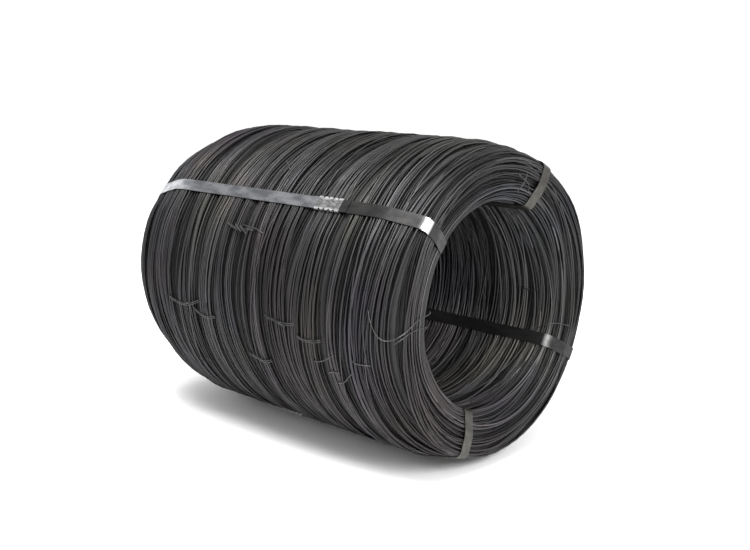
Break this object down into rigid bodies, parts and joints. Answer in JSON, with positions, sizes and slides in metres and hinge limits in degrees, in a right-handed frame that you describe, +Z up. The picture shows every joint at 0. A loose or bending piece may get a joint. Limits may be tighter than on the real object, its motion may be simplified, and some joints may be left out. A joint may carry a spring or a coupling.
{
  "type": "coil of carbon steel wire",
  "caption": "Heavy cylindrical coil of dark steel wire, wound as hanks side by side round an open bore, with flat steel straps through the bore and crimped seals.",
  "frame": {"origin": "on the floor, at the bottom centre of the coil's bounding box", "axes": "+X along the coil's axis to its near end, +Z up"},
  "size_m": [0.6442, 0.4781, 0.475],
  "materials": {
    "wire": "dark grey annealed wire, faint blue and brown tints",
    "strap": "dull grey steel strap, worn",
    "seal": "light grey zinc-coated sheet",
    "tie": "dark annealed tie wire"
  },
  "bodies": {
    "root": {"seal_1": "seal", "seal_2": "seal", "seal_3": "seal", "seal_4": "seal", "strap_1": "strap", "strap_2": "strap", "strap_3": "strap", "strap_4": "strap", "tie_wire_1": "tie", "tie_wire_2": "tie", "tie_wire_3": "tie", "tie_wire_4": "tie", "tie_wire_5": "tie", "tie_wire_6": "tie", "tie_wire_7": "tie", "tie_wire_8": "tie", "tie_wire_9": "tie", "wire_coil": "wire"}
  },
  "joints": []
}
